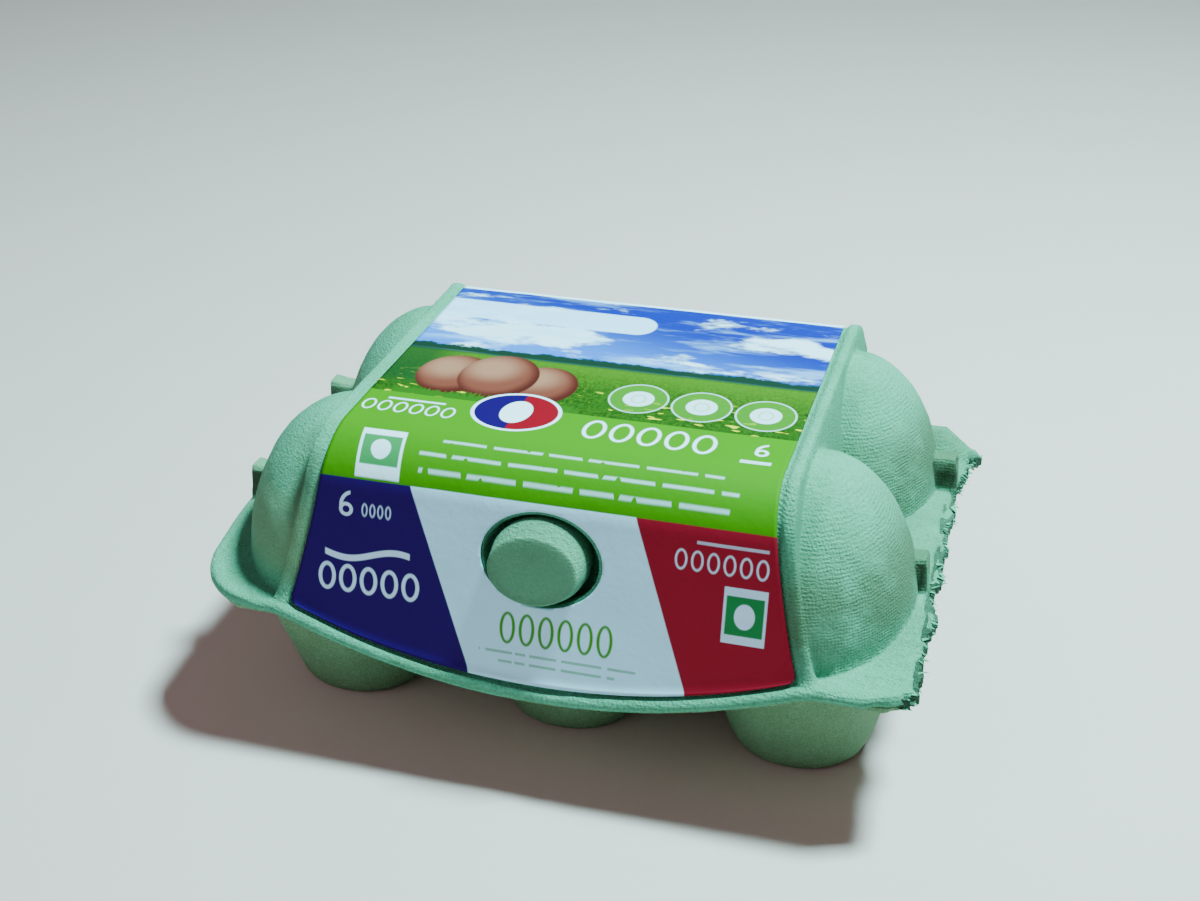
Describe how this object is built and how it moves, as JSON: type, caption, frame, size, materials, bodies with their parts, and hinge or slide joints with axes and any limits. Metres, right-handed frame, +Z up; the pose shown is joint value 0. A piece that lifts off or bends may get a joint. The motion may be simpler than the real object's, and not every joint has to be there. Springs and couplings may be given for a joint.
{
  "type": "egg carton",
  "caption": "Shut moulded pulp egg carton with a domed lid, cup-shaped feet, a paper label over top and front, and an oval lock nub.",
  "frame": {"origin": "on the surface that the feet stand on, below the middle of the carton", "axes": "+Z up; -Y towards the long side with the lock; +X towards the torn end"},
  "size_m": [0.147, 0.107, 0.0641],
  "materials": {
    "pulp_lid": "matt moulded pulp, pale sea green",
    "pulp_tray": "matt moulded pulp, sea green",
    "pulp_nub": "matt moulded pulp, sea green",
    "printed_paper": "printed label paper with a slight sheen"
  },
  "bodies": {
    "root": {"lid": "pulp_lid", "tray": "pulp_tray", "lock_nub": "pulp_nub", "label": "printed_paper"}
  },
  "joints": []
}
